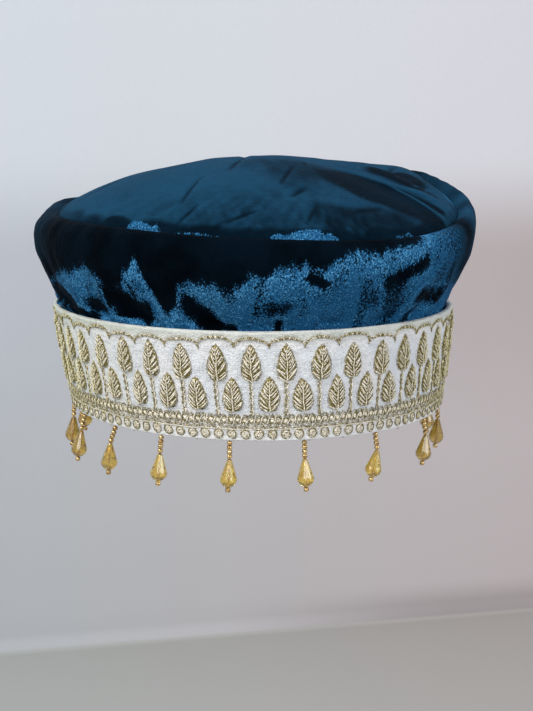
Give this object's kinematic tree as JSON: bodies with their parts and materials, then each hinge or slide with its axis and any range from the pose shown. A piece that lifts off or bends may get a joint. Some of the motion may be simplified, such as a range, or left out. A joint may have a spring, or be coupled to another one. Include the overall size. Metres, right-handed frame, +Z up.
{
  "type": "velvet pillbox cap",
  "caption": "Soft round velvet cap with a puffed, gathered crown, a stiff embroidered cloth band and a fringe of faceted glass drops on seed-bead strands round its lower edge.",
  "frame": {"origin": "centre of the head opening, level with the band's lower edge", "axes": "+Z up through the crown, -Y towards the wearer's forehead and so the pictured front, +X towards the wearer's left"},
  "size_m": [0.2024, 0.2264, 0.134],
  "materials": {
    "velvet": "deep blue velvet pile",
    "band_cloth": "off-white cloth, embroidered with pale gold thread",
    "amber_glass": "clear amber glass, faceted, with an iridescent coat",
    "gold_beads": "gold-lined glass seed beads on a thread"
  },
  "bodies": {
    "root": {"crown_top": "velvet", "crown_side": "velvet", "embroidered_band": "band_cloth", "drop_bead_01": "amber_glass", "drop_bead_02": "amber_glass", "drop_bead_03": "amber_glass", "drop_bead_04": "amber_glass", "drop_bead_05": "amber_glass", "drop_bead_06": "amber_glass", "drop_bead_07": "amber_glass", "drop_bead_08": "amber_glass", "drop_bead_09": "amber_glass", "drop_bead_10": "amber_glass", "drop_bead_11": "amber_glass", "drop_bead_12": "amber_glass", "drop_bead_13": "amber_glass", "drop_bead_14": "amber_glass", "drop_bead_15": "amber_glass", "drop_bead_16": "amber_glass", "drop_bead_17": "amber_glass", "drop_bead_18": "amber_glass", "drop_strand_01": "gold_beads", "drop_strand_02": "gold_beads", "drop_strand_03": "gold_beads", "drop_strand_04": "gold_beads", "drop_strand_05": "gold_beads", "drop_strand_06": "gold_beads", "drop_strand_07": "gold_beads", "drop_strand_08": "gold_beads", "drop_strand_09": "gold_beads", "drop_strand_10": "gold_beads", "drop_strand_11": "gold_beads", "drop_strand_12": "gold_beads", "drop_strand_13": "gold_beads", "drop_strand_14": "gold_beads", "drop_strand_15": "gold_beads", "drop_strand_16": "gold_beads", "drop_strand_17": "gold_beads", "drop_strand_18": "gold_beads"}
  },
  "joints": []
}
